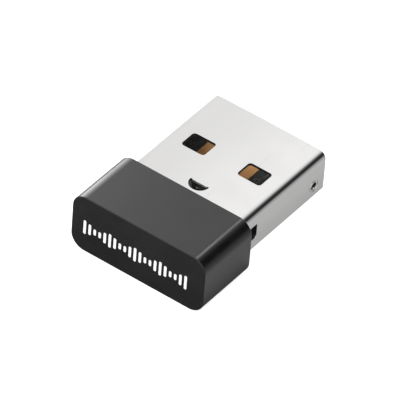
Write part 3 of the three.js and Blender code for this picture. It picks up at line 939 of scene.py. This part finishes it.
def shell_solder(side, name):
    """The solder that joins a side wall to the board, with a hollow face and drawn-out ends."""
    low, high = place_of(name)
    wall, foot = (high.x, low.x) if side > 0 else (low.x, high.x)
    curve = [Vector((foot + (wall - foot) * t ** 1.4, low.z + (high.z - low.z) * t ** 2.6))
             for t in (0.0, 0.25, 0.45, 0.62, 0.76, 0.88, 1.0)]
    outline = curve + [Vector((wall, low.z))]
    if side < 0:
        outline.reverse()
    shape = add_prism(bmesh.new(), outline, low.y, high.y, "y", (0.06, 0.06), steps=4)
    return add_piece(name, shape, [solder], name)


circuit_board()
board_tracks()
contacts()
printed_antenna()
tongue_carrier()
shell_solder(-1, "shell_solder_left")
shell_solder(1, "shell_solder_right")

# ---------------------------------------------------------------- parts on the board


def standing(node):
    """The matrix that places a part on its board, and the part's length, width and height.

    In its own frame a part's long side lies along X and it stands on Z = 0. Parts under the board hang
    from it.
    """
    low, high = place_of(node)
    size, middle = high - low, (low + high) / 2
    hangs, turned = high.z < BOARD_HIGH.z - 0.1, size.y > size.x
    foot = Vector((middle.x, middle.y, high.z if hangs else low.z))
    matrix = Matrix.Translation(foot)
    if hangs:
        matrix = matrix @ Matrix.Rotation(math.pi, 4, "Y")
    if turned:
        matrix = matrix @ Matrix.Rotation(math.pi / 2, 4, "Z")
    return matrix, max(size.x, size.y), min(size.x, size.y), size.z


def add_part(name, shape, materials, matrix):
    """Makes a piece of a part that was drawn in its own frame."""
    bmesh.ops.transform(shape, matrix=matrix, verts=shape.verts)
    return add_piece(name, shape, materials, name)


def two_ended(name, core, glaze=False):
    """A chip part: a core with a tinned cap round each end, each on its solder fillet."""
    matrix, length, width, height = standing(name)
    half, side_y = length / 2, width / 2
    end = length * 0.22
    skin = 0.02  # how far the core lies under the surface of its ends
    reach = 0.12
    rise = height * 0.6
    core_top = height - skin * (2 if glaze else 1)
    shape = bmesh.new()
    add_block(shape, (-half + 0.04, -side_y + skin, skin), (half - 0.04, side_y - skin, core_top), 0.03)
    if glaze:
        add_block(shape, (-half + end, -side_y + 0.03, height - 0.06),
                  (half - end, side_y - 0.03, height - 0.01), 0.02, material=3)
    for side in (-1, 1):
        near, far = sorted((side * (half - end), side * half))
        add_block(shape, (near, -side_y, 0), (far, side_y, height), 0.045, material=1)
        curve = [Vector((side * (half + reach * (1 - k / 4) ** 2), rise * (k / 4) ** 2)) for k in range(5)]
        inner = side * (half - 0.03)
        outline = curve + [Vector((inner, rise)), Vector((inner, 0))]
        add_prism(shape, outline if side > 0 else outline[::-1], -side_y + 0.04, side_y - 0.04, "y",
                  (0.02, 0.02), material=2, steps=2)
    return add_part(name, shape, [core, tin, solder, resistor_glaze], matrix)


def voltage_regulator():
    """A three-legged regulator: a moulded block with drafted sides on bent, tinned legs."""
    matrix, length, _, height = standing("voltage_regulator")
    narrow, wide = 0.59, 0.65
    underside, parting = 0.1, 0.52
    draft = [(-narrow, underside), (narrow, underside), (wide, parting), (narrow, height),
             (-narrow, height), (-wide, parting)]
    shape = add_prism(bmesh.new(), [Vector(corner) for corner in draft], -length / 2, length / 2, "x",
                      (0.06, 0.06), steps=2)
    leg_x, leg_half, leg_thickness = 0.95, 0.2, 0.12
    for x, side in ((-leg_x, -1), (leg_x, -1), (0.0, 1)):
        path = [(side * 0.5, 0.51), (side * 0.78, 0.51), (side * 0.86, 0.43), (side * 0.9, 0.16),
                (side * 0.97, 0.06), (side * 1.2, 0.06)]
        add_prism(shape, ribbon(path, leg_thickness), x - leg_half, x + leg_half, "x", (0.02, 0.02),
                  material=1, steps=2)
    return add_part("voltage_regulator", shape, [mould_compound, tin], matrix)


def esd_suppressor():
    """The data-line suppressor: a flat moulded block with three tinned ends along each side."""
    matrix, length, width, height = standing("esd_suppressor")
    lead_pitch, lead_half, lead_depth, lead_height = 0.5, 0.11, 0.14, 0.16
    shape = add_block(bmesh.new(), (-length / 2, -width / 2 + 0.04, 0.03),
                      (length / 2, width / 2 - 0.04, height), 0.06)
    for x in (-lead_pitch, 0.0, lead_pitch):
        for side in (-1, 1):
            near, far = sorted((side * (width / 2 - lead_depth), side * width / 2))
            add_block(shape, (x - lead_half, near, 0.0), (x + lead_half, far, lead_height), 0.02, material=1)
    return add_part("esd_suppressor", shape, [mould_compound, tin], matrix)


def crystal():
    """The crystal: a ceramic tray with a drawn metal lid seamed on to it."""
    matrix, length, width, height = standing("crystal")
    shape = bmesh.new()
    x, y = length / 2, width / 2
    tray, rim, lid = (
        rounded_rectangle((-x + inset, -y + inset), (x - inset, y - inset), corner)
        for inset, corner in ((0.0, 0.2), (0.1, 0.28), (0.2, 0.3)))
    tray_top, rim_top = 0.4, 0.46
    add_prism(shape, tray, 0.0, tray_top, "z", (0.03, 0.03), steps=2)
    add_prism(shape, rim, tray_top - 0.02, rim_top, "z", (0.0, 0.03), material=1, steps=2)
    add_prism(shape, lid, rim_top - 0.02, height, "z", (0.0, 0.12), material=1)
    return add_part("crystal", shape, [ceramic, can_steel], matrix)


def radio_chip():
    """The radio chip: a flat square package with leads flush in its edges and a dot over its first pin."""
    matrix, side, _, height = standing("radio_chip")
    half = side / 2
    dot_radius, dot_depth, dot_from_edge = 0.3, 0.05, 0.75
    leads, lead_pitch, lead_half, lead_depth, lead_height = 8, 0.5, 0.12, 0.35, 0.2
    shape = add_block(bmesh.new(), (-half, -half, 0.02), (half, half, height), 0.05)
    circle = arc((dot_from_edge - half, half - dot_from_edge), dot_radius, 0, 360, 20)[:-1]
    dot = add_prism(bmesh.new(), circle, height - dot_depth, height + 0.1)
    shape = combined(shape, dot, "DIFFERENCE")
    for k in range(leads):
        at = (k - (leads - 1) / 2) * lead_pitch
        left, right = at - lead_half, at + lead_half
        for edge in (-1, 1):
            near, far = sorted((edge * (half - lead_depth), edge * (half + 0.006)))
            add_block(shape, (left, near, 0.0), (right, far, lead_height), 0.015, material=1)
            add_block(shape, (near, left, 0.0), (far, right, lead_height), 0.015, material=1)
    return add_part("radio_chip", shape, [mould_compound, tin], matrix)


for part in ("input_capacitor", "output_capacitor", "matching_capacitor", "crystal_capacitor_1",
             "crystal_capacitor_2", "decoupling_capacitor_1", "decoupling_capacitor_2",
             "decoupling_capacitor_3"):
    two_ended(part, ceramic)
for part in ("ferrite_bead", "matching_inductor"):
    two_ended(part, ferrite)
for part in ("usb_resistor_minus", "usb_resistor_plus"):
    two_ended(part, ceramic, glaze=True)
voltage_regulator()
esd_suppressor()
crystal()
radio_chip()

# ---------------------------------------------------------------- light, floor and camera


def floor():
    """A plain pale floor a hair's breadth under the cap, so that the two faces don't lie in one plane."""
    radius = 500 * MM
    gap = 0.02 * MM
    ring = [(*(point * radius), -gap) for point in arc((0, 0), 1, 0, 360, 64)[:-1]]
    mesh = bpy.data.meshes.new("floor")
    mesh.from_pydata(ring, [], [range(len(ring))])
    material, tree = node_material("floor")
    shader = tree.nodes["Principled BSDF"]
    shader.inputs["Base Color"].default_value = grey(0.92)
    shader.inputs["Roughness"].default_value = 0.9
    shader.inputs["Specular IOR Level"].default_value = 0.0
    shader.inputs["Emission Color"].default_value = grey(1.0)
    shader.inputs["Emission Strength"].default_value = 0.75
    mesh.materials.append(material)
    made = in_scene("floor", mesh)
    made.visible_glossy = False


# How bright the studio is round the object's long axis: degrees up from the right, and radiance.
BEHIND = [
    (-180, 1.1), (-122, 0.97), (-98, 0.8), (-86, 0.7), (-74, 0.52), (-62, 0.47), (-59.5, 0.6), (-56, 0.69),
    (-34, 0.66), (-10, 0.52), (2, 0.38), (14, 0.15), (24, 0.03), (48, 0.04), (62, 0.21), (74, 0.6),
    (86, 1.02), (98, 1.13), (110, 1.22), (120.5, 1.34), (123.5, 1.1), (180, 1.1),
]
# The same in front of the object, from straight down to straight up.
IN_FRONT = [(-90, 0.3), (-30, 0.27), (0, 0.8), (20, 1.2), (60, 1.32), (90, 1.32)]


def shade_card():
    """The shade under the cap, as its gloss mirrors it: a dark card that only reflections see.

    It lies just above the floor, and fades out beside the cap and under the plug.
    """
    beside_cap, ahead_of_cap = 2.4, 1.6
    low = CAP_LOW - Vector((beside_cap, beside_cap, 0))
    high = CAP_HIGH + Vector((beside_cap, ahead_of_cap, 0))
    height = CAP_LOW.z + 0.01
    corners = [Vector((x, y, height)) for x, y in
               ((low.x, low.y), (high.x, low.y), (high.x, high.y), (low.x, high.y))]
    mesh = bpy.data.meshes.new("shade_card")
    mesh.from_pydata([SEAT + corner * MM for corner in corners], [], [(0, 1, 2, 3)])
    material, tree = node_material("shade_card")
    where = add_node(tree, "ShaderNodeTexCoord").outputs["Object"]
    across, along, _ = add_node(tree, "ShaderNodeSeparateXYZ", {"Vector": where}).outputs
    beside = ranged(tree, added(tree, across, 0.0, "ABSOLUTE"), CAP_HIGH.x * MM, high.x * MM, 0.0, 1.0)
    ahead = ranged(tree, along, SEAT.y + 0.2 * MM, SEAT.y + high.y * MM, 0.0, 1.0)
    beyond = added(tree, beside, ahead, "MAXIMUM")
    dark = add_node(tree, "ShaderNodeEmission", {"Color": grey(0.2)}).outputs[0]
    clear = add_node(tree, "ShaderNodeBsdfTransparent").outputs[0]
    blend = add_node(tree, "ShaderNodeMixShader", {0: beyond, 1: dark, 2: clear}).outputs[0]
    tree.links.new(blend, tree.nodes["Material Output"].inputs["Surface"])
    mesh.materials.append(material)
    made = in_scene("shade_card", mesh)
    for ray in ("camera", "diffuse", "transmission", "volume_scatter", "shadow"):
        setattr(made, "visible_" + ray, False)


def ramp(tree, angle, low, high, stops):
    """A brightness that follows a list of (angle, value) stops."""
    share = add_node(tree, "ShaderNodeMapRange", {"Value": angle, "From Min": low, "From Max": high})
    made = add_node(tree, "ShaderNodeValToRGB", {"Fac": share.outputs[0]})
    steps = made.color_ramp.elements
    while len(steps) < len(stops):
        steps.new(0.5)
    for step, (at, value) in zip(steps, stops):
        step.position = (at - low) / (high - low)
        step.color = grey(value)
    return made.outputs[0]


def studio():
    """Soft light from all round, brighter above than below, with one dark stretch up on the right."""
    world = bpy.data.worlds.new("studio")
    bpy.context.scene.world = world
    world.use_nodes = True
    tree = world.node_tree
    direction = add_node(tree, "ShaderNodeTexCoord").outputs["Generated"]
    x, y, z = add_node(tree, "ShaderNodeSeparateXYZ", {"Vector": direction}).outputs
    round_axis = added(tree, added(tree, z, x, "ARCTAN2"), math.degrees(1), "MULTIPLY")
    upward = added(tree, added(tree, z, 0.0, "ARCSINE"), math.degrees(1), "MULTIPLY")
    behind = ramp(tree, round_axis, -180, 180, BEHIND)
    in_front = ramp(tree, upward, -90, 90, IN_FRONT)
    light = mixed(tree, ranged(tree, y, -0.2, 0.4, 0.0, 1.0), in_front, behind)
    seen = add_node(tree, "ShaderNodeLightPath").outputs["Is Camera Ray"]
    background = tree.nodes["Background"]
    tree.links.new(mixed(tree, seen, light, grey(1.0)), background.inputs["Color"])
    bpy.context.scene.view_settings.view_transform = "Standard"


def strip_light(name, target, towards, distance, size, power, pieces, fade):
    """A soft box that lights only some pieces. size is (along the object, across it), in millimetres.

    Across its width the box brightens from one edge, and is at full strength past a share of the width.
    fade holds that share at the cap's end of the box and at the plug's end.
    """
    light = bpy.data.lights.new(name, "AREA")
    light.shape = "RECTANGLE"
    light.size, light.size_y = (side * MM for side in size)
    light.energy = power
    light.use_nodes = True
    tree = light.node_tree
    where = add_node(tree, "ShaderNodeNewGeometry").outputs["Parametric"]
    along_share, across_share, _ = add_node(tree, "ShaderNodeSeparateXYZ", {"Vector": where}).outputs
    width = ranged(tree, along_share, 0.0, 1.0, *fade)
    strength = ranged(tree, added(tree, across_share, width, "DIVIDE"), 0.0, 1.0, 0.0, 1.0)
    tree.links.new(strength, tree.nodes["Emission"].inputs["Strength"])
    made = in_scene(name, light)
    back = Vector(towards).normalized()
    along = (Vector((0, 1, 0)) - back * back.y).normalized()
    made.matrix_world = Matrix.Translation(SEAT + (Vector(target) + back * distance) * MM) @ Matrix(
        (along, back.cross(along), back)).transposed().to_4x4()
    made.visible_camera = False
    lit = bpy.data.collections.new(name)
    for piece in pieces:
        lit.objects.link(piece)
    made.light_linking.receiver_collection = lit


def camera():
    """The camera, a long way off with a long lens. Angles are in degrees, distances in millimetres."""
    azimuth, elevation, roll = (math.radians(angle) for angle in (33.86, 41.76, 4.51))
    distance = 535.1
    aim = Vector((0.555, 1.37, 0.927))
    back = Vector((
        math.sin(azimuth) * math.cos(elevation),
        -math.cos(azimuth) * math.cos(elevation),
        math.sin(elevation),
    ))
    lens = bpy.data.cameras.new("camera")
    lens.lens = 566.2
    lens.sensor_width = 36
    lens.clip_start = 0.01
    lens.clip_end = 20
    made = in_scene("camera", lens)
    made.location = SEAT + (aim + back * distance) * MM
    made.rotation_mode = "QUATERNION"
    made.rotation_quaternion = (-back).to_track_quat("-Z", "Y") @ Quaternion((0, 0, 1), roll)
    bpy.context.scene.camera = made


floor()
shade_card()
studio()
strip_light("left_strip", target=(CAP_LOW.x + 1, -3.5, CAP_HIGH.z), towards=(-0.64, 0.62, 0.45), distance=60,
            size=(16, 69), power=0.02, pieces=cap_pieces, fade=(0.85, 1.4))
strip_light("top_strip", target=(CAP_HIGH.x - 1, -3, CAP_HIGH.z), towards=(-0.01, 0.62, 0.78), distance=60,
            size=(12, 14), power=0.0022, pieces=cap_pieces, fade=(0.12, 1.28))
camera()
